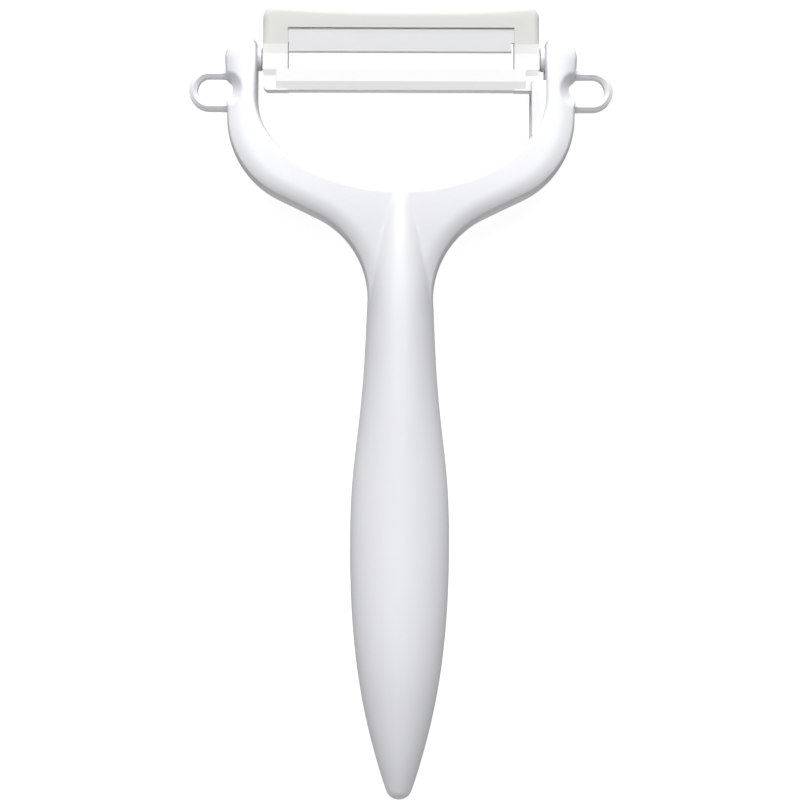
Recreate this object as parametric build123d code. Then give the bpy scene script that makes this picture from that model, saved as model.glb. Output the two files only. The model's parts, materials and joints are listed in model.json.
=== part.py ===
from build123d import *
from math import asin, atan2, cos, degrees, hypot, radians, sin
import os

# Hand peeler with a Y-shaped handle and a swivelling head that holds a ceramic blade.
#
# The tool frame runs X across the head, Y from the tip of the grip to the head and Z out of the front face.
# The parting plane of the handle is Z = 0.  The head has a frame of its own, centred on its pivot.  At the end
# every piece is placed as the tool lies on a table: on the belly of the grip and on the ends of its two arms.
# All sizes are in millimetres.

# ---------------------------------------------------------------- grip
# stations along the grip: Y, half width, depth in front of the parting plane and depth behind it
GRIP_STATIONS = (
    (6.6, 3.84, 3.70, 3.40),
    (13.7, 5.70, 5.30, 4.80),
    (21.0, 7.10, 6.30, 5.80),
    (31.5, 8.28, 6.85, 6.60),
    (44.0, 8.73, 6.90, 6.90),
    (56.0, 8.35, 6.90, 6.70),
    (66.7, 7.20, 6.90, 6.20),
    (77.0, 6.32, 6.90, 5.80),
    (88.0, 5.80, 6.80, 5.55),
    (94.0, 5.55, 6.50, 5.35),
    (99.0, 4.90, 6.10, 5.00),
    (103.0, 3.90, 5.50, 4.55),
    (106.6, 2.60, 4.20, 3.80),
)
TIP_RADIUS = 2.35
TIP_DEPTH_SHARE = 0.90      # half depth over half width at the tip
TIP_ANGLES = (15, 35, 55, 75)
BELLY_Y, BELLY_DEPTH = 44.0, 6.90
WALL = 2.0                  # wall of the hollow grip
CAVITY_START, CAVITY_END = 6.6, 82.0

# back cover of the grip: a half shell with a lip and three pegs that sit in posts of the front half
COVER_END_Y, COVER_END_BOW = 86.0, 2.5
LIP_START, LIP_END = 8.0, 81.0
LIP_THICKNESS, LIP_HEIGHT, LIP_GAP = 0.9, 1.2, 0.06
POST_STATIONS = (19.0, 44.0, 70.0)
POST_RADIUS, PEG_RADIUS, PEG_GAP, PEG_TOP = 2.3, 1.0, 0.05, 3.0
RIB_STATIONS = (31.5, 57.0, 80.0)
RIB_THICKNESS, RIB_LIFT = 1.2, 1.5

# ---------------------------------------------------------------- yoke
NECK_HALF, NECK_Y = 5.80, 88.0
SHOULDER_HALF, SHOULDER_Y = 30.7, 120.1
SWEEP_RADIUS = 16.0         # both arcs of the outer S-curve
ROOT_Y = 82.0               # where the plate starts, inside the grip
ARM_HALF, ARM_INNER = 31.1, 25.4
ARM_END_Y = 134.2
ARM_DEPTH = 4.5             # half depth of the arms
END_RADIUS = 3.8            # outer corner of an arm's end, in plan
OPENING_Y, OPENING_RISE = 123.8, 16.6
OUTER_ROUND, INNER_ROUND = 2.2, 0.8
NECK_DEPTHS = ((81.0, 1.6), (88.0, 2.5), (97.0, 3.5), (106.0, 4.1))   # side view of the yoke below the arms

# eye loops, one on each arm
LOOP_Y = 124.95
LOOP_HALF, LOOP_RADIUS = 37.5, 3.62
LOOP_ROOT = 26.5
HOLE_IN, HOLE_OUT, HOLE_RADIUS = 29.6, 36.1, 2.14
RIDGE = 1.5                 # height of the loop's ridge over the parting plane
LOOP_TAPER = 22.0           # slope of the loop's and the hole's sides, degrees

# pivot
PIVOT_Y = 130.7
BOSS_RADIUS, BOSS_FACE = 2.15, 24.6
PIN_RADIUS, JOURNAL_RADIUS, RUNNING_FIT = 1.5, 1.15, 0.05
PIN_END, PIN_STEP, JOURNAL_END, BORE_END = 29.4, 25.0, 21.3, 21.1

# ---------------------------------------------------------------- head, in its own frame
HEAD_SWING = 22.0           # from the front stop, where the head lies at rest, to the rear stop
CHEEK_OUTER, CHEEK_INNER = 24.45, 20.0
HEAD_DEPTH = 2.05           # half depth of the head
SEAM_Y = 2.37               # top of the carrier's cheeks, foot of the cover's legs
COVER_TOP, COVER_DIP, COVER_CORNER, COVER_ROUND = 9.30, 0.65, 2.2, 1.2
WINDOW_TOP, WINDOW_ROUND = 5.25, 0.15
SEAT_FACE, SEAT_FOOT, SEAT_TOP, SEAT_HALF = 0.45, 4.2, 7.85, 22.85
RAMP_Y = 0.7                # from here down the front face rises to the bar's crest
BAR_HALF, BAR_TOP, BAR_CREST, BAR_FOOT = 22.0, -2.1, -4.3, -5.85
CREST_RISE, FOOT_DROP = 0.5, 0.15
BAR_BACK_FOOT = 0.9         # half depth at the back of the bar's foot
CHEEK_FOOT, STEP_FOOT, STEP_DROP = -2.18, -3.29, 0.25
STOP_OUTER, STOP_FOOT, STOP_BACK, STOP_CHAMFER = 24.27, -5.9, 1.2, 0.5

# blade
BLADE_THICKNESS = 1.25
BLADE_HALF, BLADE_TOP, BLADE_NOTCH, BLADE_EDGE = 23.4, 7.8, 2.70, 0.85
BLADE_LEFT, BLADE_RIGHT = -19.85, 19.50
BEVEL_TOP = 4.0             # the long bevel is on the back
FRONT_BEVEL, EDGE_STEP, EDGE_LAND = 0.30, 0.15, 0.04
STUD_X, STUD_Y, STUD_RADIUS, STUD_GAP, STUD_TOP = 21.6, 5.6, 0.75, 0.05, 1.65
POCKET_GAP = 0.05

# swing stops: two ribs on the right arm, in front of and behind the head's stop block
STOP_RIB_INNER, STOP_RIB_FOOT, STOP_RIB_TOP = 22.95, 114.5, 126.5
STOP_CLEARANCE, FRONT_RIB_THICKNESS, REAR_RIB_THICKNESS = 0.03, 1.35, 1.05

FAR = 200.0                 # reach of cutting tools


# ---------------------------------------------------------------- small helpers
def both_sides(shape):
    """The shape and its mirror image across the middle plane X = 0."""
    return shape + mirror(shape, about=Plane.YZ)


def front_and_back(shape):
    """The shape and its mirror image across the parting plane Z = 0."""
    return shape + mirror(shape, about=Plane.XY)


def block(x0, x1, y0, y1, z0, z1):
    """An upright box between two corners."""
    return Pos((x0 + x1) / 2, (y0 + y1) / 2, (z0 + z1) / 2) * Box(x1 - x0, y1 - y0, z1 - z0)


def rod_x(radius, x0, x1, y=0.0):
    """A round bar along X."""
    return Pos((x0 + x1) / 2, y, 0) * Rot(Y=90) * Cylinder(radius, x1 - x0)


def rod_z(radius, x, y, z0, z1):
    """A round bar along Z."""
    return Pos(x, y, (z0 + z1) / 2) * Cylinder(radius, z1 - z0)


def side_plate(points, x0, x1):
    """A plate whose outline is given in (Y, Z) and which runs from x0 to x1."""
    return Pos(x0, 0, 0) * extrude(Plane.YZ * make_face(Polyline(*points, close=True)), x1 - x0)


def section(y, half_width, front, back):
    """A face across the grip: half an ellipse in front of the parting plane and half of another one behind it."""
    with BuildSketch(Plane.XZ.offset(-y)) as across:
        with BuildLine():
            EllipticalCenterArc((0, 0), half_width, front, start_angle=0, arc_size=180)
            EllipticalCenterArc((0, 0), half_width, back, start_angle=180, arc_size=180)
        make_face()
    return across.sketch


# ---------------------------------------------------------------- handle, as one outside form
def grip():
    """The round grip, from its tip to the ridge that runs out on the yoke."""
    tip = []
    for angle in TIP_ANGLES:
        half_width = TIP_RADIUS * sin(radians(angle))
        depth = half_width * TIP_DEPTH_SHARE
        tip.append((TIP_RADIUS * (1 - cos(radians(angle))), half_width, depth, depth))
    return loft([section(*station) for station in tip + list(GRIP_STATIONS)])


def grip_core(inset):
    """The inside form of the hollow grip: its sections, taken in by the given wall."""
    stations = [s for s in GRIP_STATIONS if s[0] <= NECK_Y]
    core = loft([section(y, *(reach - inset for reach in reaches)) for y, *reaches in stations])
    return core & block(-FAR, FAR, CAVITY_START, CAVITY_END, -FAR, FAR)


def yoke_outline():
    """Plan of the yoke: an outer S-curve of two equal arcs, and a half-ellipse that closes the gap."""
    neck = Vector(NECK_HALF + SWEEP_RADIUS, NECK_Y)
    shoulder = Vector(SHOULDER_HALF - SWEEP_RADIUS, SHOULDER_Y)
    span = shoulder - neck
    slope = degrees(atan2(span.Y, span.X) - asin(2 * SWEEP_RADIUS / span.length))
    reach = Vector(SWEEP_RADIUS, 0)
    end_start = ARM_END_Y - END_RADIUS
    with BuildSketch() as plan:
        with BuildLine():
            Polyline((0, ROOT_Y), (NECK_HALF, ROOT_Y), (NECK_HALF, NECK_Y))
            CenterArc(neck, SWEEP_RADIUS, 180, slope - 90)
            Line(neck + reach.rotate(Axis.Z, slope + 90), shoulder + reach.rotate(Axis.Z, slope - 90))
            CenterArc(shoulder, SWEEP_RADIUS, slope - 90, 90 - slope)
            Line((SHOULDER_HALF, SHOULDER_Y), (ARM_HALF, end_start))
            CenterArc((ARM_HALF - END_RADIUS, end_start), END_RADIUS, 0, 90)
            Polyline((ARM_HALF - END_RADIUS, ARM_END_Y), (ARM_INNER, ARM_END_Y), (ARM_INNER, OPENING_Y))
            EllipticalCenterArc((0, OPENING_Y), ARM_INNER, OPENING_RISE, start_angle=270, arc_size=90)
            Line((0, OPENING_Y - OPENING_RISE), (0, ROOT_Y))
        make_face()
        mirror(about=Plane.YZ)
    return plan.sketch


def in_gap(point):
    """Whether a point of the outline lies on the gap between the arms."""
    if point.Y > OPENING_Y:
        return abs(point.X) < ARM_INNER + 0.01
    return hypot(point.X / ARM_INNER, (point.Y - OPENING_Y) / OPENING_RISE) < 1.001


def rim(plate, gap):
    """Edges of the plate's two faces, along the gap or along the outside."""
    edges = [edge for face in plate.faces().filter_by(Axis.Z) for edge in face.edges()]
    return [edge for edge in edges if in_gap(edge @ 0.5) == gap and (edge @ 0.5).Y > ROOT_Y + 0.01]


def yoke():
    """The forked plate: well rounded outside, lightly inside, and thinner where it runs into the neck."""
    plate = extrude(yoke_outline(), ARM_DEPTH, both=True)
    plate = fillet(rim(plate, gap=False), OUTER_ROUND)
    plate = fillet(rim(plate, gap=True), INNER_ROUND)
    with BuildSketch(Plane.YZ) as side:
        with BuildLine():
            Spline(*NECK_DEPTHS, (SHOULDER_Y, ARM_DEPTH), tangents=[(1, 0.14), (1, 0)])
            Polyline((SHOULDER_Y, ARM_DEPTH), (SHOULDER_Y, FAR), (NECK_DEPTHS[0][0], FAR), NECK_DEPTHS[0])
        make_face()
    return plate - front_and_back(extrude(side.sketch, FAR, both=True))


def slot_shape(x_near, x_far, radius):
    """A flat round-ended shape along X, at the right-hand loop."""
    return Pos((x_near + x_far) / 2, LOOP_Y) * SlotOverall(x_far - x_near, 2 * radius)


def eye_loop():
    """Right-hand loop, still solid: its sides slope up to a ridge at mid width."""
    return front_and_back(extrude(slot_shape(LOOP_ROOT, LOOP_HALF, LOOP_RADIUS), RIDGE, taper=LOOP_TAPER))


def eye_hole():
    """Right-hand hole, flaring towards both faces and into the arm."""
    return front_and_back(extrude(slot_shape(HOLE_IN, HOLE_OUT, HOLE_RADIUS), ARM_DEPTH + 1, taper=-LOOP_TAPER))


def pivot_pin():
    """Right-hand pivot pin: a stem held in a blind hole of the arm, and a journal on which the head swings."""
    return rod_x(PIN_RADIUS, PIN_STEP, PIN_END, PIVOT_Y) + rod_x(JOURNAL_RADIUS, JOURNAL_END, PIN_STEP, PIVOT_Y)


def stop_ribs():
    """Two ribs on the inside of the right arm, which the head's stop block meets at the ends of its swing."""
    swing = radians(HEAD_SWING)
    front = front_height(STOP_FOOT) - STEP_DROP + STOP_CLEARANCE
    rear = STOP_FOOT * sin(swing) - STOP_BACK * cos(swing) - STOP_CLEARANCE
    span = (STOP_RIB_INNER, ARM_INNER + 2, STOP_RIB_FOOT, STOP_RIB_TOP)
    return block(*span, front, front + FRONT_RIB_THICKNESS) + block(*span, rear - REAR_RIB_THICKNESS, rear)


def handle_form():
    """Outside form of the whole handle with its loops, bosses and stops, and the holes of the pins."""
    boss = rod_x(BOSS_RADIUS, BOSS_FACE, ARM_INNER + 1, PIVOT_Y)
    form = grip() + yoke() + both_sides(eye_loop()) + both_sides(boss) + stop_ribs()
    return form - both_sides(eye_hole()) - both_sides(pivot_pin())


# ---------------------------------------------------------------- handle pieces
def cover_region():
    """Space of the back cover: behind the parting plane, up to a bowed end."""
    with BuildSketch() as plan:
        with BuildLine():
            Polyline((-FAR, COVER_END_Y), (-FAR, -FAR), (FAR, -FAR), (FAR, COVER_END_Y), (10, COVER_END_Y))
            ThreePointArc((10, COVER_END_Y), (0, COVER_END_Y + COVER_END_BOW), (-10, COVER_END_Y))
            Line((-10, COVER_END_Y), (-FAR, COVER_END_Y))
        make_face()
    return extrude(plan.sketch, -FAR)


def make_handle_body(form, region):
    """Front half of the hollow grip, with the whole neck and yoke."""
    front = block(-FAR, FAR, -FAR, FAR, 0, FAR)
    core = grip_core(WALL) & front
    body = form - region - core
    for y in RIB_STATIONS:
        body += core & block(-FAR, FAR, y - RIB_THICKNESS / 2, y + RIB_THICKNESS / 2, RIB_LIFT, FAR)
    for y in POST_STATIONS:
        post = rod_z(POST_RADIUS, 0, y, 0, FAR) & core
        body += post - rod_z(PEG_RADIUS + PEG_GAP, 0, y, 0, PEG_TOP + PEG_GAP)
    return body


def make_handle_back_cover(form, region):
    """Rear half of the hollow grip, with the lip and the pegs that locate it."""
    cover = (form & region) - grip_core(WALL)
    lip_inside = grip_core(WALL + LIP_GAP + LIP_THICKNESS)
    lip_base = (grip_core(WALL / 2) - lip_inside) & block(-FAR, FAR, LIP_START, LIP_END, -LIP_HEIGHT, 0)
    lip = (grip_core(WALL + LIP_GAP) - lip_inside) & block(-FAR, FAR, LIP_START, LIP_END, -LIP_HEIGHT, LIP_HEIGHT)
    cover += lip_base + lip
    behind = grip_core(WALL / 2) & block(-FAR, FAR, -FAR, FAR, -FAR, 0)
    for y in POST_STATIONS:
        cover += rod_z(POST_RADIUS, 0, y, -FAR, 0) & behind
        cover += rod_z(PEG_RADIUS, 0, y, -1, PEG_TOP)
    return cover


# ---------------------------------------------------------------- head pieces, in the head's frame
def front_height(y):
    """Height of the carrier's front face: level at the cheeks, then rising in a straight ramp to the crest."""
    return HEAD_DEPTH + CREST_RISE * max(0, RAMP_Y - y) / (RAMP_Y - BAR_CREST)


def make_blade_carrier():
    """Frame of the head: two cheeks, the bar in front of the edge, the blade's seat and the stop blocks."""
    d = HEAD_DEPTH
    crest = front_height(BAR_CREST)
    bar_outline = [
        (BAR_TOP, front_height(BAR_TOP)),
        (BAR_CREST, crest),
        (BAR_FOOT, crest - FOOT_DROP),
        (BAR_FOOT, -BAR_BACK_FOOT),
        (BAR_CREST, -d),
        (BAR_TOP, -d),
    ]
    stop_outline = [
        (SEAM_Y, d),
        (RAMP_Y, d),
        (CHEEK_FOOT, front_height(CHEEK_FOOT)),
        (STEP_FOOT, front_height(STEP_FOOT) - STEP_DROP),
        (STOP_FOOT, front_height(STOP_FOOT) - STEP_DROP),
        (STOP_FOOT, -STOP_BACK),
        (STEP_FOOT, -STOP_BACK),
        (CHEEK_FOOT, -d),
        (SEAM_Y, -d),
    ]
    cheek_outline = [(SEAM_Y, d), (RAMP_Y, d), (CHEEK_FOOT, front_height(CHEEK_FOOT)), (CHEEK_FOOT, -d), (SEAM_Y, -d)]
    bar = side_plate(bar_outline, -BAR_HALF, BAR_HALF)
    stop = side_plate(stop_outline, CHEEK_INNER, STOP_OUTER)
    corner = stop.edges().filter_by(Axis.Z).sort_by(lambda edge: (edge @ 0.5).X - (edge @ 0.5).Y)[-1]
    stop = chamfer(corner, STOP_CHAMFER)
    cheek = side_plate(cheek_outline, CHEEK_INNER, CHEEK_OUTER)
    ear = block(CHEEK_INNER, SEAT_HALF, SEAM_Y, SEAT_TOP, -d, SEAT_FACE)
    stud = rod_z(STUD_RADIUS, STUD_X, STUD_Y, SEAT_FACE, STUD_TOP)
    bore = rod_x(JOURNAL_RADIUS + RUNNING_FIT, BORE_END, CHEEK_OUTER)
    seat = block(-CHEEK_INNER, CHEEK_INNER, SEAT_FOOT, SEAT_TOP, -d, SEAT_FACE)
    return bar + seat + both_sides(stop + cheek + ear + stud - bore)


def cover_outline():
    """Front view of the head above the seam, with its hollow top edge and two round corners."""
    shoulder = CHEEK_OUTER - COVER_CORNER
    with BuildSketch() as plan:
        with BuildLine():
            Polyline(
                (-CHEEK_OUTER, COVER_TOP - COVER_CORNER),
                (-CHEEK_OUTER, SEAM_Y),
                (CHEEK_OUTER, SEAM_Y),
                (CHEEK_OUTER, COVER_TOP - COVER_CORNER),
            )
            CenterArc((shoulder, COVER_TOP - COVER_CORNER), COVER_CORNER, 0, 90)
            ThreePointArc((shoulder, COVER_TOP), (0, COVER_TOP - COVER_DIP), (-shoulder, COVER_TOP))
            CenterArc((-shoulder, COVER_TOP - COVER_CORNER), COVER_CORNER, 90, 90)
        make_face()
    return plan.sketch


def make_blade_cover():
    """Cap over the blade's back: a hollow-topped arch with a pocket for the blade and a recess for its seat."""
    cap = extrude(cover_outline(), HEAD_DEPTH, both=True)
    faces = cap.faces().filter_by(Axis.Z)
    edges = [edge for face in faces for edge in face.edges() if (edge @ 0.5).Y > SEAM_Y + 0.01]
    cap = fillet(edges, COVER_ROUND)
    window = block(-CHEEK_INNER, CHEEK_INNER, 0, WINDOW_TOP, 0, FAR)
    lip = rod_x(WINDOW_ROUND, -CHEEK_INNER, CHEEK_INNER)
    corner = block(-CHEEK_INNER, CHEEK_INNER, -WINDOW_ROUND, 0, 0, WINDOW_ROUND)
    window += Pos(0, WINDOW_TOP + WINDOW_ROUND, HEAD_DEPTH - WINDOW_ROUND) * (corner - lip)
    pocket_half = BLADE_HALF + POCKET_GAP
    pocket = block(-pocket_half, pocket_half, 0, BLADE_TOP + POCKET_GAP, SEAT_FACE, SEAT_FACE + BLADE_THICKNESS)
    recess_half = SEAT_HALF + POCKET_GAP
    recess = block(-recess_half, recess_half, 0, SEAT_TOP + POCKET_GAP, -FAR, SEAT_FACE)
    stud_hole = rod_z(STUD_RADIUS + STUD_GAP, STUD_X, STUD_Y, 0, STUD_TOP + STUD_GAP)
    return cap - window - pocket - recess - both_sides(stud_hole)


def make_ceramic_blade():
    """Flat ceramic plate, ground mostly from the back to an edge that faces the handle."""
    back = SEAT_FACE
    front = SEAT_FACE + BLADE_THICKNESS
    profile = [
        (BLADE_TOP, back),
        (BLADE_TOP, front),
        (BLADE_EDGE + FRONT_BEVEL, front),
        (BLADE_EDGE, front - EDGE_STEP),
        (BLADE_EDGE, front - EDGE_STEP - EDGE_LAND),
        (BEVEL_TOP, back),
    ]
    plate = side_plate(profile, -BLADE_HALF, BLADE_HALF)
    plate -= block(-FAR, BLADE_LEFT, -FAR, BLADE_NOTCH, -FAR, FAR)
    plate -= block(BLADE_RIGHT, FAR, -FAR, BLADE_NOTCH, -FAR, FAR)
    return plate - both_sides(rod_z(STUD_RADIUS + STUD_GAP, STUD_X, STUD_Y, -FAR, FAR))


# ---------------------------------------------------------------- placing and writing
def table_placing(form):
    """Turn and shift that lay the tool on the belly of its grip and on the ends of its arms."""
    contact_y = ARM_END_Y - OUTER_ROUND
    belly = form & block(-FAR, FAR, 0, NECK_Y, -FAR, 0)
    tilt = -atan2(BELLY_DEPTH - ARM_DEPTH, contact_y - BELLY_Y)
    for _ in range(4):
        belly_low = (Rot(X=degrees(tilt)) * belly).bounding_box().min.Z
        arm_low = contact_y * sin(tilt) - ARM_DEPTH * cos(tilt)
        tilt += (belly_low - arm_low) / (contact_y - BELLY_Y)
    return Rot(X=degrees(tilt)), belly_low


def main():
    """Build every piece, place it and write it to its own file."""
    form = handle_form()
    region = cover_region()
    right_pin = pivot_pin()
    in_head = Pos(0, PIVOT_Y, 0)
    pieces = {
        "handle_body": make_handle_body(form, region),
        "handle_back_cover": make_handle_back_cover(form, region),
        "right_pivot_pin": right_pin,
        "left_pivot_pin": mirror(right_pin, about=Plane.YZ),
        "blade_carrier": in_head * make_blade_carrier(),
        "blade_cover": in_head * make_blade_cover(),
        "ceramic_blade": in_head * make_ceramic_blade(),
    }
    turn, low = table_placing(form)
    pieces = {name: Pos(0, 0, -low) * turn * piece for name, piece in pieces.items()}
    box = Compound(list(pieces.values())).bounding_box()
    centre = Pos(0, -box.center().Y, 0)
    pivot = centre * Pos(0, 0, -low) * turn * Pos(0, PIVOT_Y, 0)
    print("size", box.size, "pivot", pivot.position, "tool frame turned", turn.orientation)
    os.makedirs("parts", exist_ok=True)
    for name, piece in pieces.items():
        piece = centre * piece
        piece.label = name
        export_step(piece, f"parts/{name}.step")


if __name__ == "__main__":
    main()
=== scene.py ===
import json
from math import cos, pi, radians, sin

import bmesh
import bpy
import numpy as np
from bpy.props import FloatProperty, FloatVectorProperty, PointerProperty
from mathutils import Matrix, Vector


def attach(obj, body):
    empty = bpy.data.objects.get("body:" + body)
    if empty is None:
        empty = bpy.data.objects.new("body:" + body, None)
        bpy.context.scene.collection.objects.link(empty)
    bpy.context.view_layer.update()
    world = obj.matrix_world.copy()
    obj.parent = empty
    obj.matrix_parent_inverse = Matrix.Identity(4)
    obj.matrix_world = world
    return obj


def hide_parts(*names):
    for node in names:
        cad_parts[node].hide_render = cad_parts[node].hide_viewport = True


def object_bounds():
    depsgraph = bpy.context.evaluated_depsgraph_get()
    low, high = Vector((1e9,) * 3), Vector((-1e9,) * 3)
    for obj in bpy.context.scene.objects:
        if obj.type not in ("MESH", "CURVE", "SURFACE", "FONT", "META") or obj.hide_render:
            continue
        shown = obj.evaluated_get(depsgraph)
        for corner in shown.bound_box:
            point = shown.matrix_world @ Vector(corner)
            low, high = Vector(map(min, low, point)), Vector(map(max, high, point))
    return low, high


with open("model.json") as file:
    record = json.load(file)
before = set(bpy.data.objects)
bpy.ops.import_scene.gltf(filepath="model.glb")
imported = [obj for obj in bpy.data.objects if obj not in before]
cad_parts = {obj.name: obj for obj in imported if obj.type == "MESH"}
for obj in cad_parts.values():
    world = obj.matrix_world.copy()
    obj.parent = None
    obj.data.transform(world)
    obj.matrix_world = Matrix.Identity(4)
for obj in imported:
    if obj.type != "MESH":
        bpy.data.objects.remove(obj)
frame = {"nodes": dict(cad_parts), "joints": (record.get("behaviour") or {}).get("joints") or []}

bl_info = {
    "name": "Y Peeler Builder",
    "version": (1, 0, 0),
    "blender": (4, 5, 0),
    "location": "3D View > Sidebar > Peeler",
    "description": "Handle, swivelling head, finishes and studio of a Y-shaped peeler with a ceramic blade",
    "category": "Add Mesh",
}

# The tool's own frame: X across the head, Y from the grip's tip to the head, Z out of the front, in millimetres.
# The head's pivot lies at PIVOT_Y on the parting plane Z = 0, and the joint's own place carries it into the scene.
MM = 0.001
PIVOT_Y = 130.7
LEAN = radians(-1.66448)    # the tool lies on the belly of its grip and on the ends of its arms
CAD_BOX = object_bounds()

# ---------------------------------------------------------------- sizes of the tool, in millimetres
# stations along the grip: Y, half width, depth in front of the parting plane and depth behind it; the last one
# lies in the gap and only shapes the ridge's end
GRIP_STATIONS = (
    (6.6, 3.84, 3.58, 3.40),
    (13.7, 5.70, 5.15, 4.80),
    (21.0, 7.10, 6.25, 5.80),
    (31.5, 8.28, 6.83, 6.60),
    (44.0, 8.73, 6.87, 6.90),
    (56.0, 8.35, 6.90, 6.70),
    (66.7, 7.20, 7.00, 6.20),
    (77.0, 6.32, 7.10, 5.80),
    (88.0, 5.80, 7.10, 5.55),
    (94.0, 5.40, 6.85, 5.35),
    (99.0, 4.90, 6.45, 5.00),
    (103.0, 4.40, 6.00, 4.55),
    (106.6, 3.80, 5.50, 3.80),
    (112.0, 2.60, 3.60, 2.40),
)
TIP_RADIUS, TIP_FLAT, TIP_DEPTH_SHARE = 2.35, 0.07, 0.90     # round tip, cut flat; its depth as a share of its width
TIP_ANGLES = (0, 15, 35, 55, 75)         # stations round the tip, in degrees
PROFILE_POINTS = 3000

# outline of the yoke
NECK_Y, NECK_HALF = 88.0, 5.80
SHOULDER_Y, SHOULDER_HALF = 120.1, 30.7
SWEEP = 16.0                # radius of both arcs of the outer S-curve
ARM_TOP, ARM_OUTER, ARM_INNER = 134.2, 31.1, 25.4
END_OUTER, END_INNER = 3.8, 1.3          # corner radii of an arm's end, in plan
GAP_Y, GAP_RISE = 123.8, 16.6            # half-ellipse that closes the gap between the arms

# section of the ridge: its powers across and upwards along the grip, at the neck and on the yoke, and where it
# changes; a span is a stretch of Y over which something eases in or out
GRIP_POWERS, NECK_POWERS, YOKE_POWERS = (1.8, 1.8), (1.6, 1.7), (2.0, 2.0)
NECK_SPAN, YOKE_SPAN = (55.0, 80.0), (84.0, 95.0)
CREST, CREST_LEAST, CREST_SPAN = 1.1, 1e-3, (55.0, 75.0)     # half width of the soft crest
KNEE, KNEE_LEAST, KNEE_SPAN = 0.06, 1e-6, (87.0, 95.0)       # below this share the ridge's foot runs on straight
FOOT_LEAST = -3.0           # where the straight foot ends, as a share of the depth

# half depth of the yoke's plate along Y, in front and behind
FRONT_PLATE = ((74.0, 0.0), (81.0, 2.0), (88.0, 3.5), (94.0, 4.4), (100.0, 5.1), (106.0, 5.4), (120.1, 4.8),
               (140.0, 3.8))
BACK_PLATE = ((74.0, 0.0), (81.0, 1.6), (88.0, 2.5), (97.0, 3.5), (106.0, 4.1), (120.1, 4.5), (140.0, 4.5))
PLATE_SPAN, PLATE_POINTS = (74.0, 140.0), 661
PLATE_FROM = 80.0           # below this there is only the grip
CROWN_WIDTH, CROWN_SPAN = 3.4, (127.0, 131.5)    # how far in from the outside the crown begins, and its fading out
OUTER_POWER, INNER_POWER = 2.5, 4.0      # of the superellipses along the rims
INNER_LOSS, INNER_SPAN = 0.65, (125.0, 130.5)    # the rounding along the gap narrows up the arm
BLEND_SPAN = (80.0, 92.0)   # the fillet between ridge and plate grows

# grid over the handle's plan
BRANCH_Y = 98.5             # where the middle line of the grip forks into the two arms
ARM_CORE = (28.2, 130.6)    # inner end of an arm's middle line
TRUNK_BOW, BOW_SPAN = 2.5, (60.0, 115.0)         # rise of the rows towards the middle
BOW_END = 0.2               # share of the arm by which this rise has faded out
TIP_ROWS, GRIP_ROWS, NECK_ROWS, ARM_ROWS, END_ROWS, COLUMNS = 25, 84, 19, 190, 40, 30
TIP_SHARE, CROWDING = 0.12, 1.35         # share of the trunk with crowded rows, and how columns crowd at the outline
SEAM_Y, SEAM_BOW = 87.66, 0.84           # end of the back cover at the grip's side, and its rise to the middle
SEAM_GROOVE, SEAM_ROW_GAP = 0.06, 0.15   # depth of the groove, and distance of the two rows beside it

# eye loops
LOOP_Y, HOLE_IN, HOLE_RADIUS = 124.95, 29.6, 2.14
HOLE_WALL, HOLE_FLARE = 2.4, 1.25        # half height of the hole's upright wall, and the rise of its scoop
HOLE_BLEND, HOLE_REACH = 0.02, 2.0       # squared blend of scoop and arm, and how far over the arm it is felt
LOOP_OUT, LOOP_RADIUS, LOOP_SIDE, RIDGE = 37.5, 3.62, 1.05, 1.5
LOOP_ROOT, LOOP_RUN_POINTS = 27.6, 40
FLARE_SPAN, FLARE_WIDTH, FLARE_HEIGHT = (28.4, 32.0), 0.15, 1.2      # along X, how a loop's foot swells into the arm

# pivot bosses and stop ribs
BOSS_RADIUS, BOSS_FACE, BOSS_ROOT, BOSS_ROUND = 2.15, 24.6, 26.4, 0.25
BOSS_FOOT = ((ARM_INNER - 0.15, BOSS_RADIUS), (ARM_INNER, BOSS_RADIUS + 0.08), (BOSS_ROOT, BOSS_RADIUS + 0.5))
BOSS_SIDES = 64
RIB_INNER, RIB_OUTER, RIB_FOOT, RIB_TOP, RIB_ROUND = 22.95, 27.4, 114.5, 126.5, 0.22
FRONT_RIB, REAR_RIB = (2.49, 3.84), (-4.40, -3.35)


# ---------------------------------------------------------------- sizes and colours
class PEELER_PG_shape(bpy.types.PropertyGroup):
    """Sizes that soften the moulded shapes."""
    crown: FloatProperty(name="Crown", description="Radius of the soft arc that leads over to the yoke's outside",
                         default=5.5 * MM, min=0.0045, unit="LENGTH")
    outer_round: FloatProperty(name="Outer rounding", description="Width of the small round at the yoke's outside",
                               default=0.6 * MM, min=0.0001, unit="LENGTH")
    inner_round: FloatProperty(name="Inner rounding", description="Width of the rounding along the gap",
                               default=0.9 * MM, min=0.0001, unit="LENGTH")
    ridge_blend: FloatProperty(name="Ridge blend", description="Size of the soft fillet between ridge and yoke",
                               default=0.2 * MM, min=0.0, unit="LENGTH")
    head_bevel: FloatProperty(name="Head bevel", description="Broken edge of the moulded head pieces",
                              default=0.09 * MM, min=0.0, unit="LENGTH")
    blade_bevel: FloatProperty(name="Blade bevel", description="Broken edge of the ceramic blade",
                               default=0.05 * MM, min=0.0, unit="LENGTH")


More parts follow.
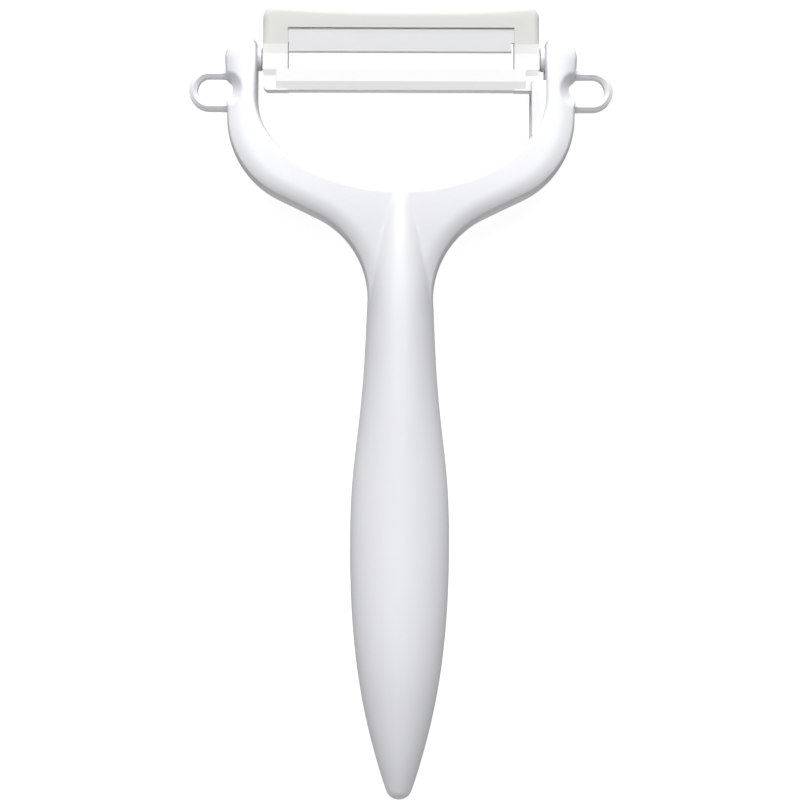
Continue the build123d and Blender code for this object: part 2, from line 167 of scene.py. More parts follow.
class PEELER_PG_finish(bpy.types.PropertyGroup):
    """Base colours of the four finishes."""
    handle: FloatVectorProperty(name="Handle", description="Cool white of the handle", subtype="COLOR",
                                default=(0.77, 0.775, 0.80), min=0, max=1)
    carrier: FloatVectorProperty(name="Carrier", description="Neutral white of the blade carrier", subtype="COLOR",
                                 default=(0.70, 0.70, 0.70), min=0, max=1)
    cover: FloatVectorProperty(name="Cover", description="Warm white of the blade cover", subtype="COLOR",
                               default=(0.613, 0.617, 0.592), min=0, max=1)
    blade: FloatVectorProperty(name="Blade", description="Pale grey of the ceramic", subtype="COLOR",
                               default=(0.578, 0.583, 0.592), min=0, max=1)


class PEELER_PG_studio(bpy.types.PropertyGroup):
    """Lights, floor and camera."""
    key_watts: FloatProperty(name="Key light", description="Power of the soft key light", default=43.0, min=0)
    key_tilt: FloatProperty(name="Key tilt", description="Angle of the key light off the vertical, towards the head",
                            default=radians(43.5), subtype="ANGLE", unit="ROTATION")
    key_reach: FloatProperty(name="Key distance", description="Distance of the key light", default=1.6, unit="LENGTH")
    key_size: FloatProperty(name="Key size", description="Side of the square key light", default=1.5, unit="LENGTH")
    fill: FloatProperty(name="Fill", description="Strength of the even light from all round", default=0.12, min=0)
    floor_bounce: FloatProperty(name="Floor bounce", description="Light that comes up from the floor on all sides",
                                default=0.22, min=0)
    end_bounce: FloatProperty(name="End bounce", description="Further light that comes up from before and behind",
                              default=1.5, min=0)
    floor_glow: FloatProperty(name="Floor glow", description="Light given off by the white floor",
                              default=0.90, min=0)
    height: FloatProperty(name="Camera height", description="Height of the camera over the tool's middle",
                          default=0.42, unit="LENGTH")
    width: FloatProperty(name="View width", description="Width seen at the tool's middle height",
                         default=0.1414, unit="LENGTH")


# ---------------------------------------------------------------- placing and mesh helpers
def to_scene(points):
    """Points of the tool's frame turned by the lean and carried to the pivot's place, in metres."""
    x, y, z = (points[..., i] for i in range(3))
    pivot = frame["joints"][0]["pos_m"]
    run = (y - PIVOT_Y) * cos(LEAN) - z * sin(LEAN)
    rise = (y - PIVOT_Y) * sin(LEAN) + z * cos(LEAN)
    return np.stack([x * MM + pivot[0], run * MM + pivot[1], rise * MM + pivot[2]], axis=-1)


def grid_faces(rows, columns, start=0):
    """Quads between neighbouring points of a grid that is stored row by row."""
    index = start + np.arange(rows * columns).reshape(rows, columns)
    corners = (index[:-1, :-1], index[1:, :-1], index[1:, 1:], index[:-1, 1:])
    return np.stack(corners, axis=-1).reshape(-1, 4)


def join_grids(grids):
    """Points and quads of several grids, one after the other."""
    points, faces, start = [], [], 0
    for grid in grids:
        points.append(grid.reshape(-1, 3))
        faces.append(grid_faces(*grid.shape[:2], start))
        start += grid.shape[0] * grid.shape[1]
    return np.concatenate(points), np.concatenate(faces)


def add_piece(name, grids, material, body, caps=(), stands_for=()):
    """A closed smooth piece from grids in the tool's frame: doubles merged, normals turned out, carried by a body."""
    points, faces = join_grids(grids)
    mesh = bpy.data.meshes.new(name)
    mesh.from_pydata(to_scene(points), [], faces.tolist() + [list(cap) for cap in caps])
    tidy_mesh(mesh)
    mesh.shade_smooth()
    finish_piece(bpy.data.objects.new(name, mesh), material, body, stands_for)


def tidy_mesh(mesh):
    """Merges the doubled points of seams and poles and turns all faces outwards."""
    work = bmesh.new()
    work.from_mesh(mesh)
    bmesh.ops.remove_doubles(work, verts=work.verts, dist=2e-7)
    bmesh.ops.recalc_face_normals(work, faces=work.faces)
    work.to_mesh(mesh)
    work.free()


def finish_piece(piece, material, body, stands_for):
    """Links a piece, gives it its material, hangs it on its body and hides the packed parts it stands for."""
    bpy.context.scene.collection.objects.link(piece)
    piece.data.materials.clear()
    piece.data.materials.append(material)
    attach(piece, body)
    if stands_for:
        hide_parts(*stands_for)
    return piece


# ---------------------------------------------------------------- curves
def spline_through(knots, values, at):
    """Natural cubic spline: pieces of third degree whose slope and bend run on through every knot."""
    knots, values = np.asarray(knots, float), np.asarray(values, float)
    gap = np.diff(knots)
    slope = np.diff(values, axis=0) / gap.reshape(-1, *[1] * (values.ndim - 1))
    system = np.eye(len(knots))
    inner = np.arange(1, len(knots) - 1)
    system[inner, inner - 1] = gap[:-1]
    system[inner, inner] = 2 * (gap[:-1] + gap[1:])
    system[inner, inner + 1] = gap[1:]
    right = np.zeros_like(values)
    right[1:-1] = 6 * np.diff(slope, axis=0)
    bend = np.linalg.solve(system, right)
    i = np.clip(np.searchsorted(knots, at) - 1, 0, len(gap) - 1)
    shape = (-1, *[1] * (values.ndim - 1))
    h, t = gap[i].reshape(shape), (at - knots[i]).reshape(shape)
    start = slope[i] - h * (2 * bend[i] + bend[i + 1]) / 6
    return values[i] + start * t + bend[i] * t**2 / 2 + (bend[i + 1] - bend[i]) * t**3 / (6 * h)


def arc(x, y, radius_x, radius_y, start, end, step=0.12):
    """Points of an arc of an ellipse, at an even step of angle."""
    count = max(3, int(abs(end - start) * max(radius_x, radius_y) / step))
    angle = np.linspace(start, end, count)
    return np.stack([x + radius_x * np.cos(angle), y + radius_y * np.sin(angle)], axis=-1)


def lengths_along(curve):
    """Length of a polyline from its start to each of its points."""
    return np.concatenate([[0], np.cumsum(np.hypot(*np.diff(curve, axis=0).T))])


def along(curve, share):
    """Points at the given shares of a polyline's length."""
    length = lengths_along(curve)
    return np.stack([np.interp(np.asarray(share) * length[-1], length, curve[:, i]) for i in (0, 1)], axis=-1)


def distance_to(curve, x, y):
    """Least distance from each point to the straight pieces of a polyline."""
    start, span = curve[:-1], np.diff(curve, axis=0)
    from_x, from_y = x[..., None] - start[:, 0], y[..., None] - start[:, 1]
    share = (from_x * span[:, 0] + from_y * span[:, 1]) / (span**2).sum(axis=1).clip(1e-12)
    share = share.clip(0, 1)
    return np.hypot(from_x - share * span[:, 0], from_y - share * span[:, 1]).min(axis=-1)


def ease(value, low, high):
    """Smooth step from 0 at low to 1 at high."""
    t = np.clip((value - low) / (high - low), 0, 1)
    return t * t * (3 - 2 * t)


# ---------------------------------------------------------------- handle
def grip_profile():
    """Y, half width, front and back depth along the grip: a round tip, then a spline through the stations."""
    angles = np.radians(TIP_ANGLES)
    width = TIP_RADIUS * np.sin(angles)
    depth = width * TIP_DEPTH_SHARE
    tip = np.stack([(TIP_RADIUS * (1 - np.cos(angles))).clip(TIP_FLAT), width, depth, depth], axis=-1)
    stations = np.concatenate([tip, np.array(GRIP_STATIONS)])
    knots = lengths_along(stations[:, :2])
    return spline_through(knots, stations, np.linspace(0, knots[-1], PROFILE_POINTS))


def sweep_curve():
    """Outer S-curve from the neck to the shoulder: two equal arcs joined by their common tangent."""
    neck = np.array([NECK_HALF + SWEEP, NECK_Y])
    shoulder = np.array([SHOULDER_HALF - SWEEP, SHOULDER_Y])
    span = shoulder - neck
    slope = np.arctan2(span[1], span[0]) - np.arcsin(2 * SWEEP / np.hypot(*span))
    first = arc(*neck, SWEEP, SWEEP, pi, slope + pi / 2)
    second = arc(*shoulder, SWEEP, SWEEP, slope - pi / 2, 0)
    return np.concatenate([first, second])


def arm_end():
    """Top of an arm in plan: a wide outer corner, a flat and a narrow inner corner."""
    outer = arc(ARM_OUTER - END_OUTER, ARM_TOP - END_OUTER, END_OUTER, END_OUTER, 0, pi / 2)
    inner = arc(ARM_INNER + END_INNER, ARM_TOP - END_INNER, END_INNER, END_INNER, pi / 2, pi)
    return np.concatenate([outer, inner])


def gap_curve():
    """Edge of the gap, from the middle of its bottom up to the inner corner of the arm's end."""
    ellipse = arc(0, GAP_Y, ARM_INNER, GAP_RISE, -pi / 2, 0)
    return np.concatenate([ellipse, [[ARM_INNER, ARM_TOP - END_INNER]]])


def rounded(distance, width, power):
    """Share of the full height near a rounded edge: a superellipse that starts upright and ends level."""
    return (1 - (1 - np.clip(distance / width, 0, 1)) ** power) ** (1 / power)


def ridge_height(x, y, front):
    """Height of the grip, and of the ridge in which it ends on the yoke.

    Across, it is one minus a power of the way from the middle to the side, the whole raised to one over another
    power.  Both powers are 2 for an ellipse; they fall towards the neck, which makes it more pointed, and are 2 on
    the yoke.  The way is measured along a hyperbola, so that the crest stays soft.  Near its foot the ridge runs
    on in a straight line and dives below the plate.
    """
    profile = grip_profile()
    half_width = np.interp(y, profile[:, 0], profile[:, 1])
    half_depth = np.interp(y, profile[:, 0], profile[:, 2 if front else 3])
    at_neck, on_yoke = ease(y, *NECK_SPAN), ease(y, *YOKE_SPAN)
    across, upwards = (grip + (neck - grip) * at_neck + (yoke - neck) * on_yoke
                       for grip, neck, yoke in zip(GRIP_POWERS, NECK_POWERS, YOKE_POWERS))
    crest = CREST_LEAST + CREST * ease(y, *CREST_SPAN) * (1 - on_yoke)
    way = (np.hypot(x, crest) - crest) / (np.hypot(half_width, crest) - crest).clip(1e-6)
    share, root = 1 - way**across, 1 / upwards
    knee = KNEE_LEAST + KNEE * ease(y, *KNEE_SPAN)
    foot = knee**root + (np.maximum(share, FOOT_LEAST) - knee) * root * knee ** (root - 1)
    return half_depth * np.where(share > knee, np.maximum(share, knee) ** root, foot)


def plate_height(x, y, shape, front):
    """Height of the yoke's plate, and the share of it that its rims leave.

    The full height runs along Y as a spline.  Towards the outside it drops along the arc of the crown, less and
    less up the arm.  Along both edges a superellipse leads down to the parting plane.
    """
    knots, depths = np.array(FRONT_PLATE if front else BACK_PLATE).T
    places = np.linspace(*PLATE_SPAN, PLATE_POINTS)
    depth = np.interp(y, places, spline_through(knots, depths, places))
    outside = np.concatenate([[[NECK_HALF, PLATE_SPAN[0]]], sweep_curve(), arm_end()])
    from_outside, from_gap = distance_to(outside, x, y), distance_to(gap_curve(), x, y)
    crown = shape.crown / MM
    outwards = np.clip(CROWN_WIDTH - from_outside, 0, CROWN_WIDTH)
    drop = (crown - np.sqrt(crown**2 - outwards**2)) * (1 - ease(y, *CROWN_SPAN))
    inner_round = shape.inner_round / MM * (1 - INNER_LOSS * ease(y, *INNER_SPAN))
    rim = rounded(from_outside, shape.outer_round / MM, OUTER_POWER) * rounded(from_gap, inner_round, INNER_POWER)
    rim = np.where((y < NECK_Y) & (x > NECK_HALF), 0, rim)
    return (depth - drop).clip(0) * rim, rim


def handle_height(x, y, shape, front):
    """Height of the handle's front or back over the parting plane.

    Ridge and plate meet in the mean of both heights plus half the root of their squared difference and a squared
    blend.  Round each eye's hole a cone scoops the arm out: the mean of both less half of such a root.
    """
    ridge = ridge_height(x, y, front)
    plate, rim = plate_height(x, y, shape, front)
    blend = shape.ridge_blend / MM * rim * ease(y, *BLEND_SPAN)
    height = (plate + ridge + np.sqrt((plate - ridge) ** 2 + blend**2)) / 2
    height = np.where(y < PLATE_FROM, ridge, height)
    flare_x = np.minimum(x - (HOLE_IN + HOLE_RADIUS), 0)
    cone = HOLE_WALL + HOLE_FLARE * (np.hypot(flare_x, y - LOOP_Y) - HOLE_RADIUS)
    scooped = (height + cone - np.sqrt((height - cone) ** 2 + HOLE_BLEND)) / 2
    return np.maximum(np.where(cone < height + HOLE_REACH, scooped, height), 0)


def trunk_rows(trunk, top):
    """Outline points of the grip and the neck, the matching rise towards the middle, and the row of the seam.

    The rows crowd towards the tip, and two of them lie close together at the seam.
    """
    lengths = lengths_along(trunk)
    seam = lengths[np.argmin(np.abs(trunk[:, 1] - SEAM_Y))] / lengths[-1]
    gap = SEAM_ROW_GAP / lengths[-1]
    shares = np.concatenate([np.linspace(0, 1, TIP_ROWS + 1)[:-1] ** 2 * TIP_SHARE,
                             np.linspace(TIP_SHARE, seam - gap, GRIP_ROWS), [seam, seam + gap],
                             np.linspace(seam + gap, 1, NECK_ROWS + 1)[1:]])
    seam_row = TIP_ROWS + GRIP_ROWS
    edge = along(trunk, shares)
    rise = TRUNK_BOW * ease(edge[:, 1], *BOW_SPAN) / ease(top, *BOW_SPAN)
    held = SEAM_BOW / rise[seam_row]
    rise *= held + (1 - held) * ease(edge[:, 1], SEAM_Y, top)
    return edge, rise, seam_row


def handle_plan():
    """Grid over half of the handle's plan, from its outline (first column) to its middle line (last column).

    A row runs from a point of the outline to the matching point of the middle line: up the grip, up the outer
    S-curve and the arm, round the arm's end and back along the gap.  Columns crowd towards the outline.
    """
    profile = grip_profile()
    outer = np.concatenate([profile[profile[:, 0] <= NECK_Y][:, [1, 0]], sweep_curve()])
    top = BRANCH_Y - TRUNK_BOW
    branch = np.argmin(np.abs(outer[:, 1] - top))
    trunk_edge, rise, seam_row = trunk_rows(outer[:branch + 1], top)
    trunk_core = np.stack([0 * rise, trunk_edge[:, 1] + rise], axis=-1)

    arm = np.concatenate([outer[branch:], [[ARM_OUTER, ARM_TOP - END_OUTER]]])
    steps = np.linspace(0, 1, ARM_ROWS)
    outer_edge, gap_edge = along(arm, steps), along(gap_curve(), steps)
    core = (outer_edge + gap_edge) / 2
    core += (1 - steps[:, None]) ** 3 * (np.array([0, BRANCH_Y]) - core[0])
    core += steps[:, None] ** 3 * (np.array(ARM_CORE) - core[-1])
    notch = np.sqrt(np.maximum(HOLE_RADIUS**2 - (outer_edge[:, 1] - LOOP_Y) ** 2, 0))
    hole_edge = np.where(notch > 0, HOLE_IN + HOLE_RADIUS - notch, np.inf)
    outer_edge[:, 0] = np.minimum(outer_edge[:, 0], hole_edge)
    end_edge = along(arm_end(), np.linspace(0, 1, END_ROWS))
    end_core = np.repeat([ARM_CORE], END_ROWS, axis=0)

    edge = np.concatenate([trunk_edge, outer_edge[1:], end_edge[1:], gap_edge[-2::-1]])
    middle = np.concatenate([trunk_core, core[1:], end_core[1:], core[-2::-1]])
    fading = rise[-1] * np.maximum(1 - steps[1:] / BOW_END, 0) ** 2
    bow = np.concatenate([rise, fading, np.zeros(END_ROWS + ARM_ROWS - 2)])
    column = 1 - np.cos(pi / 2 * np.linspace(0, 1, COLUMNS) ** CROWDING)
    plan = edge[:, None] + (middle - edge)[:, None] * column[None, :, None]
    plan[..., 1] += bow[:, None] * (column * (1 - column))[None]
    return plan, seam_row


def mirrored(grid):
    """The same grid on the other side of the middle plane."""
    return grid * np.array([-1, 1, 1])


def make_handle(shape, material):
    """Front moulding of grip and yoke, and the back cover that closes the grip behind.

    Both are the plan grid lifted by the height over the parting plane.  The front piece keeps the whole yoke,
    ends in a wall at the seam and is flat below it.  The two share a fine groove along their joint.
    """
    plan, seam = handle_plan()
    x, y = plan[..., 0], plan[..., 1]
    height, back_height = (handle_height(x, y, shape, front) for front in (True, False))
    height[:, 0] = back_height[:, 0] = 0
    groove = plan.copy()
    groove[1:seam + 1, 0, 0] -= SEAM_GROOVE
    front = np.concatenate([groove, height[..., None]], axis=-1)
    back = np.concatenate([plan, -back_height[..., None]], axis=-1)
    yoke_back = back[seam:].copy()
    yoke_back[0, :, 2] += SEAM_GROOVE * (back_height[seam] > SEAM_GROOVE)
    yoke_back[0, 0] = front[seam, 0]
    flat = front[:seam + 1] * np.array([1, 1, 0])
    wall = np.stack([flat[-1], yoke_back[0]])
    halves = [front, yoke_back, flat, wall]
    add_piece("handle_moulding", halves + [mirrored(half) for half in halves], material, "handle",
              stands_for=["handle_body"])
    cover = back[:seam + 1].copy()
    cover[:, 0] = front[:seam + 1, 0] * np.array([1, 1, 0])
    cover[-1, :, 2] += SEAM_GROOVE * (back_height[seam] > SEAM_GROOVE)
    cover[-1, :, 1] -= SEAM_GROOVE
    lid = cover * np.array([1, 1, 0])
    wall = np.stack([lid[-1], cover[-1]])
    halves = [cover, lid, wall]
    add_piece("grip_back_cover", halves + [mirrored(half) for half in halves], material, "handle",
              stands_for=["handle_back_cover"])


def roof_section(half_width):
    """Closed section of a loop: upright sides and a low roof above and below, with points crowded at its corners."""
    corners = np.array([(1, LOOP_SIDE), (0, RIDGE), (-1, LOOP_SIDE), (-1, -LOOP_SIDE), (0, -RIDGE), (1, -LOOP_SIDE)])
    corners = corners * np.array([half_width, 1])
    after = np.roll(corners, -1, axis=0)
    share = np.array([0.05, 0.12, 0.5, 0.88, 0.95])[None, :, None]
    section = (corners[:, None] * (1 - share) + after[:, None] * share).reshape(-1, 2)
    return np.concatenate([section, section[:1]])


def make_eye_loop(side, material):
    """Hanging loop: a roofed section carried along a round-ended path beside the arm.

    The path is a straight run, a half circle and a straight run back into the arm; the section widens and rises
    where it runs into the arm.
    """
    middle = (LOOP_RADIUS + HOLE_RADIUS) / 2
    centre_x = LOOP_OUT - LOOP_RADIUS
    turn = arc(centre_x, LOOP_Y, middle, middle, pi / 2, -pi / 2, step=0.1)
    run = np.linspace(LOOP_ROOT, centre_x, LOOP_RUN_POINTS)[:-1]
    upper = np.stack([run, np.full(run.shape, LOOP_Y + middle)], axis=-1)
    lower = np.stack([run[::-1], np.full(run.shape, LOOP_Y - middle)], axis=-1)
    path = np.concatenate([upper, turn, lower])
    angle = np.concatenate([np.full(len(run), pi / 2), np.linspace(pi / 2, -pi / 2, len(turn)),
                            np.full(len(run), -pi / 2)])
    outward = np.stack([np.cos(angle), np.sin(angle)], axis=-1)
    section = roof_section((LOOP_RADIUS - HOLE_RADIUS) / 2)
    flare = (1 - ease(path[:, 0], *FLARE_SPAN))[:, None]
    ring = np.zeros((len(path), len(section), 3))
    ring[..., :2] = path[:, None] + outward[:, None] * (section[:, 0] * (1 + FLARE_WIDTH * flare))[..., None]
    ring[..., 2] = section[:, 1] * (1 + FLARE_HEIGHT * flare)
    corners = len(section) - 1
    last = (len(path) - 1) * len(section)
    if side == "left":
        ring = mirrored(ring)
    add_piece(side + "_eye_loop", [ring], material, "handle",
              caps=[range(corners), range(last, last + corners)])


def make_boss(side, material):
    """Round boss that carries the pivot: a profile with a rounded rim and a flared foot, turned about X."""
    rim = arc(BOSS_FACE + BOSS_ROUND, BOSS_RADIUS - BOSS_ROUND, BOSS_ROUND, BOSS_ROUND, pi, pi / 2, step=0.04)
    profile = np.concatenate([[[BOSS_FACE, 0]], rim, BOSS_FOOT, [[BOSS_ROOT, 0]]])
    turn = np.linspace(0, 2 * pi, BOSS_SIDES + 1)
    along_x, radius = np.repeat(profile[:, :1], len(turn), axis=1), profile[:, 1:]
    grid = np.stack([along_x, PIVOT_Y + radius * np.cos(turn), radius * np.sin(turn)], axis=-1)
    if side == "left":
        grid = mirrored(grid)
    add_piece(side + "_pivot_boss", [grid], material, "handle")


def rounded_block(low, high, radius, steps=7):
    """Grid of a block with round edges: a sphere whose eight parts are pushed out to the block's corners."""
    low, high = np.array(low, float), np.array(high, float)
    part = np.linspace(0, pi / 2, steps)
    turn = np.concatenate([part, part + pi / 2, part + pi, part + 3 * pi / 2, [2 * pi]])
    quarter = np.minimum(np.arange(len(turn)) // steps, 3)
    side_x = np.array([1, -1, -1, 1])[quarter]
    side_y = np.array([1, 1, -1, -1])[quarter]
    side_x[-1] = side_y[-1] = 1
    fall = np.concatenate([part, part + pi / 2])
    side_z = np.repeat([1, -1], steps)
    reach = (high - low) / 2 - radius
    direction = np.stack([np.sin(fall)[:, None] * np.cos(turn), np.sin(fall)[:, None] * np.sin(turn),
                          np.repeat(np.cos(fall)[:, None], len(turn), axis=1)], axis=-1)
    corner = np.stack(np.broadcast_arrays(side_x, side_y, side_z[:, None]), axis=-1)
    grid = (low + high) / 2 + corner * reach + direction * radius
    last = (len(fall) - 1) * len(turn)
    cap = np.arange(4) * steps
    return grid, [cap.tolist(), (last + cap).tolist()]


def make_stop_rib(name, span, material):
    """Stop rib on the inside of the right arm: a long block with round edges."""
    low, high = (RIB_INNER, RIB_FOOT, span[0]), (RIB_OUTER, RIB_TOP, span[1])
    grid, caps = rounded_block(low, high, RIB_ROUND)
    add_piece(name, [grid], material, "handle", caps=caps)


# ---------------------------------------------------------------- head
def make_head_piece(name, source, width, crease, material):
    """A finished copy of a packed head piece: flat faces joined up, creases kept, sharp edges broken by a round."""
    level, sharp = radians(0.6), radians(28)
    work = bmesh.new()
    work.from_mesh(frame["nodes"][source].data)
    bmesh.ops.remove_doubles(work, verts=work.verts, dist=1e-6)
    bmesh.ops.dissolve_limit(work, angle_limit=level, verts=work.verts, edges=work.edges)
    corners = [vertex.co[:] for vertex in work.verts]
    outlines = [[vertex.index for vertex in face.verts] for face in work.faces]
    work.free()
    mesh = bpy.data.meshes.new(name)
    mesh.from_pydata(corners, [], outlines)
    mesh.shade_smooth()
    mesh.set_sharp_from_angle(angle=crease)
    piece = finish_piece(bpy.data.objects.new(name, mesh), material, "head", [source])
    bevel = piece.modifiers.new("broken edges", "BEVEL")
    bevel.width = width
    bevel.segments = 3
    bevel.limit_method = "ANGLE"
    bevel.angle_limit = sharp
    bevel.harden_normals = True


# ---------------------------------------------------------------- shader maths
class Value:
    """A socket that takes part in sums: every operator adds the Math node that works it out."""

    def __init__(self, tree, socket):
        self.tree, self.socket = tree, socket

    def math(self, operation, *inputs):
        return node(self.tree, "ShaderNodeMath", {"operation": operation}, dict(enumerate(inputs)))

    def __add__(self, other):
        return self.math("ADD", self, other)

    def __rsub__(self, other):
        return self.math("SUBTRACT", other, self)

    def __mul__(self, other):
        return self.math("MULTIPLY", self, other)

    def __pow__(self, other):
        return self.math("POWER", self, other)

    __radd__ = __add__
    __rmul__ = __mul__


def node(tree, kind, settings=None, inputs=None, output=0):
    """Any node: its settings are set first, then its sockets get values or links, and one output comes back."""
    made = tree.nodes.new(kind)
    for key, value in (settings or {}).items():
        setattr(made, key, value)
    for key, value in (inputs or {}).items():
        if isinstance(value, Value):
            tree.links.new(value.socket, made.inputs[key])
        else:
            made.inputs[key].default_value = value
    return Value(tree, made.outputs[output])


def new_material(name):
    """An empty principled material: its tree, its shader and the place on the piece in millimetres."""
    material = bpy.data.materials.new(name)
    material.use_nodes = True
    tree = material.node_tree
    place = node(tree, "ShaderNodeTexCoord", output="Object")
    millimetres = node(tree, "ShaderNodeVectorMath", {"operation": "SCALE"}, {0: place, "Scale": 1 / MM})
    return material, tree, tree.nodes["Principled BSDF"], millimetres


def noise(tree, place, scale, detail=2.0, roughness=0.5):
    """Cloudy noise from 0 to 1, with so many features to the millimetre."""
    return node(tree, "ShaderNodeTexNoise", {"noise_dimensions": "3D"},
                {"Vector": place, "Scale": scale, "Detail": detail, "Roughness": roughness})


def stretched(tree, place, x, y, z):
    """The place with each axis scaled on its own, for a pattern that runs one way."""
    return node(tree, "ShaderNodeVectorMath", {"operation": "MULTIPLY"}, {0: place, 1: (x, y, z)})


def tinted(tree, share, first, second):
    """A colour between two, by a share."""
    return node(tree, "ShaderNodeMix", {"data_type": "RGBA"}, {0: share, 6: (*first, 1), 7: (*second, 1)}, output=2)


def bumped(tree, shader, height, distance):
    """Fine relief on the shader, with its depth in metres."""
    bump = node(tree, "ShaderNodeBump", None, {"Strength": 1.0, "Distance": distance, "Height": height})
    tree.links.new(bump.socket, shader.inputs["Normal"])


def plug(tree, shader, name, value):
    """Links a worked-out value to one of the shader's sockets."""
    tree.links.new(value.socket, shader.inputs[name])


def shaded(colour, factor):
    """A colour made darker or lighter by a factor."""
    return tuple(min(1, channel * factor) for channel in colour)


def moulded_resin(name, colour, gloss, grain, depth):
    """Moulded plastic: slow flow marks in colour and gloss, the tool's fine spark texture, and faint rubbing."""
    material, tree, shader, place = new_material(name)
    flow = noise(tree, stretched(tree, place, 0.5, 0.12, 0.5), 1.0, 3.0)
    spark = noise(tree, place, grain, 3.0, 0.6)
    skin = noise(tree, place, 0.9, 2.0)
    rub = noise(tree, stretched(tree, place, 3.0, 0.35, 3.0), 2.0, 4.0, 0.7) ** 3.0
    plug(tree, shader, "Base Color",
         tinted(tree, flow * 0.7 + spark * 0.3, shaded(colour, 0.985), shaded(colour, 1.015)))
    plug(tree, shader, "Roughness", gloss - 0.04 + flow * 0.05 + spark * 0.03 + rub * 0.12)
    bumped(tree, shader, skin * 0.75 + spark * 0.25, depth)
    shader.inputs["IOR"].default_value = 1.47
    return material


def ground_ceramic(name, colour):
    """Zirconia: fine grinding lines along the blade, a cloudy body and small specks."""
    material, tree, shader, place = new_material(name)
    lines = noise(tree, stretched(tree, place, 0.06, 9.0, 9.0), 1.0, 4.0, 0.65)
    cloud = noise(tree, place, 0.35, 3.0)
    speck = noise(tree, place, 12.0, 1.0)
    plug(tree, shader, "Base Color",
         tinted(tree, cloud * 0.5 + lines * 0.3 + speck * 0.2, shaded(colour, 0.965), shaded(colour, 1.03)))
    plug(tree, shader, "Roughness", 0.24 + lines * 0.14 + cloud * 0.04)
    bumped(tree, shader, lines * 0.8 + speck * 0.2, 0.006 * MM)
    shader.inputs["IOR"].default_value = 1.9
    return material


def finishes():
    """The finishes by name, made once."""
    colours = bpy.context.scene.peeler_finish
    made = {}
    for name, maker in (
        ("handle resin", lambda n: moulded_resin(n, colours.handle, 0.34, 5.0, 0.020 * MM)),
        ("carrier resin", lambda n: moulded_resin(n, colours.carrier, 0.36, 6.0, 0.010 * MM)),
        ("cover resin", lambda n: moulded_resin(n, colours.cover, 0.46, 9.0, 0.012 * MM)),
        ("blade ceramic", lambda n: ground_ceramic(n, colours.blade)),
    ):
        made[name] = bpy.data.materials.get(name) or maker(name)
    return made


# ---------------------------------------------------------------- operators
class PEELER_OT_handle(bpy.types.Operator):
    """Builds the front moulding of grip and yoke and the back cover of the grip"""
    bl_idname = "peeler.handle"
    bl_label = "Handle"

    def execute(self, context):
        make_handle(context.scene.peeler_shape, finishes()["handle resin"])
        return {"FINISHED"}


class PEELER_OT_loops(bpy.types.Operator):
    """Builds the two hanging loops"""
    bl_idname = "peeler.loops"
    bl_label = "Eye loops"

    def execute(self, context):
        for side in ("left", "right"):
            make_eye_loop(side, finishes()["handle resin"])
        return {"FINISHED"}


class PEELER_OT_bosses(bpy.types.Operator):
    """Builds the pivot bosses and finishes the pins in them"""
    bl_idname = "peeler.bosses"
    bl_label = "Pivot bosses"

    def execute(self, context):
        for side in ("left", "right"):
            make_boss(side, finishes()["handle resin"])
            pin = frame["nodes"][side + "_pivot_pin"]
            for slot in pin.material_slots:
                slot.material = finishes()["carrier resin"]
        return {"FINISHED"}


class PEELER_OT_stop_ribs(bpy.types.Operator):
    """Builds the two ribs that end the head's swing"""
    bl_idname = "peeler.stop_ribs"
    bl_label = "Stop ribs"

    def execute(self, context):
        for name, span in (("front_stop_rib", FRONT_RIB), ("rear_stop_rib", REAR_RIB)):
            make_stop_rib(name, span, finishes()["handle resin"])
        return {"FINISHED"}


class PEELER_OT_head(bpy.types.Operator):
    """Builds the blade carrier, the blade cover and the ceramic blade"""
    bl_idname = "peeler.head"
    bl_label = "Head"

    def execute(self, context):
        shape, finish = context.scene.peeler_shape, finishes()
        flat, curved = radians(3), radians(30)
        for name, source, bevel, crease, look, slot in (
            ("carrier_frame", "blade_carrier", shape.head_bevel, flat, "carrier resin", "carrier_resin"),
            ("cover_cap", "blade_cover", shape.head_bevel, curved, "cover resin", "cover_resin"),
            ("blade_plate", "ceramic_blade", shape.blade_bevel, flat, "blade ceramic", "blade_ceramic"),
        ):
            make_head_piece(name, source, bevel, crease, finish[look])
        return {"FINISHED"}


class PEELER_OT_studio(bpy.types.Operator):
    """Builds the white floor, the soft light and the camera above the tool"""
    bl_idname = "peeler.studio"
    bl_label = "Studio"

    def execute(self, context):
        studio = context.scene.peeler_studio
        make_floor(studio)
        make_lights(studio)
        make_camera(studio)
        context.scene.view_settings.view_transform = "Standard"
        return {"FINISHED"}


# ---------------------------------------------------------------- studio
def make_floor(studio):
    """A wide pale floor just under the tool, which glows and is seen by the camera only."""
    reach, low = 4.0, CAD_BOX[0].z - 0.2 * MM
    mesh = bpy.data.meshes.new("studio_floor")
    corners = [(-reach, -reach, low), (reach, -reach, low), (reach, reach, low), (-reach, reach, low)]
    mesh.from_pydata(corners, [], [(0, 1, 2, 3)])
    floor = bpy.data.objects.new("studio_floor", mesh)
    floor.visible_diffuse = floor.visible_glossy = False
    bpy.context.scene.collection.objects.link(floor)
    material, tree, shader, place = new_material("floor paper")
    grain = noise(tree, place, 0.4, 2.0)
    plug(tree, shader, "Base Color", tinted(tree, grain, (0.27, 0.27, 0.27), (0.29, 0.29, 0.29)))
    shader.inputs["Roughness"].default_value = 0.9
    shader.inputs["Specular IOR Level"].default_value = 0.0
    shader.inputs["Emission Color"].default_value = (1, 1, 1, 1)
    shader.inputs["Emission Strength"].default_value = studio.floor_glow
    mesh.materials.append(material)


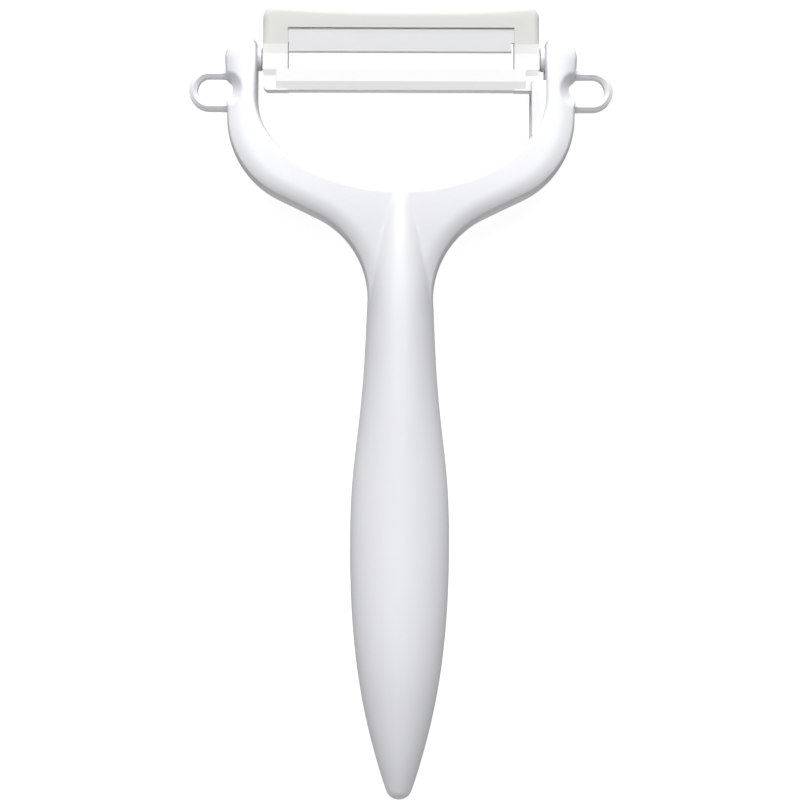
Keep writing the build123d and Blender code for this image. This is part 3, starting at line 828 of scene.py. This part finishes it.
def make_lights(studio):
    """One soft key from beyond the head, and a world that gives an even fill and light from the floor.

    Light from below comes up on all sides, and more of it from before and behind, by the square of the
    direction's part along Y.
    """
    world = bpy.data.worlds.new("studio")
    world.use_nodes = True
    tree = world.node_tree
    background = tree.nodes["Background"]
    background.inputs["Color"].default_value = (1, 1, 1, 1)
    direction = node(tree, "ShaderNodeTexCoord", output="Generated")
    split = node(tree, "ShaderNodeSeparateXYZ", None, {0: direction}).socket.node
    ahead, up = Value(tree, split.outputs["Y"]), Value(tree, split.outputs["Z"])
    below = node(tree, "ShaderNodeClamp", None, {0: 0.5 - up * 3.0})
    strength = studio.fill + below * (studio.floor_bounce + ahead * ahead * studio.end_bounce)
    tree.links.new(strength.socket, background.inputs["Strength"])
    bpy.context.scene.world = world
    light = bpy.data.lights.new("key", "AREA")
    light.shape = "SQUARE"
    light.size = studio.key_size
    light.energy = studio.key_watts
    key = bpy.data.objects.new("key", light)
    bpy.context.scene.collection.objects.link(key)
    aside = -0.07
    key.location = (aside, sin(studio.key_tilt) * studio.key_reach, cos(studio.key_tilt) * studio.key_reach)
    key.rotation_euler = (-key.location).to_track_quat("-Z", "Y").to_euler()


def make_camera(studio):
    """A camera straight above the tool, framed on its middle height."""
    camera = bpy.data.cameras.new("camera")
    camera.sensor_width = 36
    camera.lens = camera.sensor_width * studio.height / studio.width
    camera.clip_start, camera.clip_end = 0.01, 20
    eye = bpy.data.objects.new("camera", camera)
    bpy.context.scene.collection.objects.link(eye)
    middle_height, ahead, roll = 6 * MM, 0.22 * MM, radians(0.18)
    eye.location = (0, ahead, studio.height + middle_height)
    eye.rotation_euler = (0, 0, roll)
    bpy.context.scene.camera = eye


class PEELER_PT_sidebar(bpy.types.Panel):
    """Lists the sizes, the finishes and every piece of the peeler"""
    bl_label = "Y Peeler"
    bl_idname = "PEELER_PT_sidebar"
    bl_space_type = "VIEW_3D"
    bl_region_type = "UI"
    bl_category = "Peeler"

    def draw(self, context):
        for group in (context.scene.peeler_shape, context.scene.peeler_finish, context.scene.peeler_studio):
            box = self.layout.box()
            for name in group.__annotations__:
                box.prop(group, name)
        for operator in OPERATORS:
            self.layout.operator(operator.bl_idname)


GROUPS = (PEELER_PG_shape, PEELER_PG_finish, PEELER_PG_studio)
OPERATORS = (PEELER_OT_handle, PEELER_OT_loops, PEELER_OT_bosses, PEELER_OT_stop_ribs, PEELER_OT_head,
             PEELER_OT_studio)


def register():
    """Registers every class and hangs the property groups on the scene."""
    for group in (*GROUPS, *OPERATORS, PEELER_PT_sidebar):
        bpy.utils.register_class(group)
    bpy.types.Scene.peeler_shape = PointerProperty(type=PEELER_PG_shape)
    bpy.types.Scene.peeler_finish = PointerProperty(type=PEELER_PG_finish)
    bpy.types.Scene.peeler_studio = PointerProperty(type=PEELER_PG_studio)


def unregister():
    """Takes everything away again, last first."""
    del bpy.types.Scene.peeler_studio
    del bpy.types.Scene.peeler_finish
    del bpy.types.Scene.peeler_shape
    for group in reversed((*GROUPS, *OPERATORS, PEELER_PT_sidebar)):
        bpy.utils.unregister_class(group)


def main():
    """Builds the whole scene in order."""
    register()
    bpy.ops.peeler.handle()
    bpy.ops.peeler.loops()
    bpy.ops.peeler.bosses()
    bpy.ops.peeler.stop_ribs()
    bpy.ops.peeler.head()
    bpy.ops.peeler.studio()


if __name__ == "__main__":
    main()
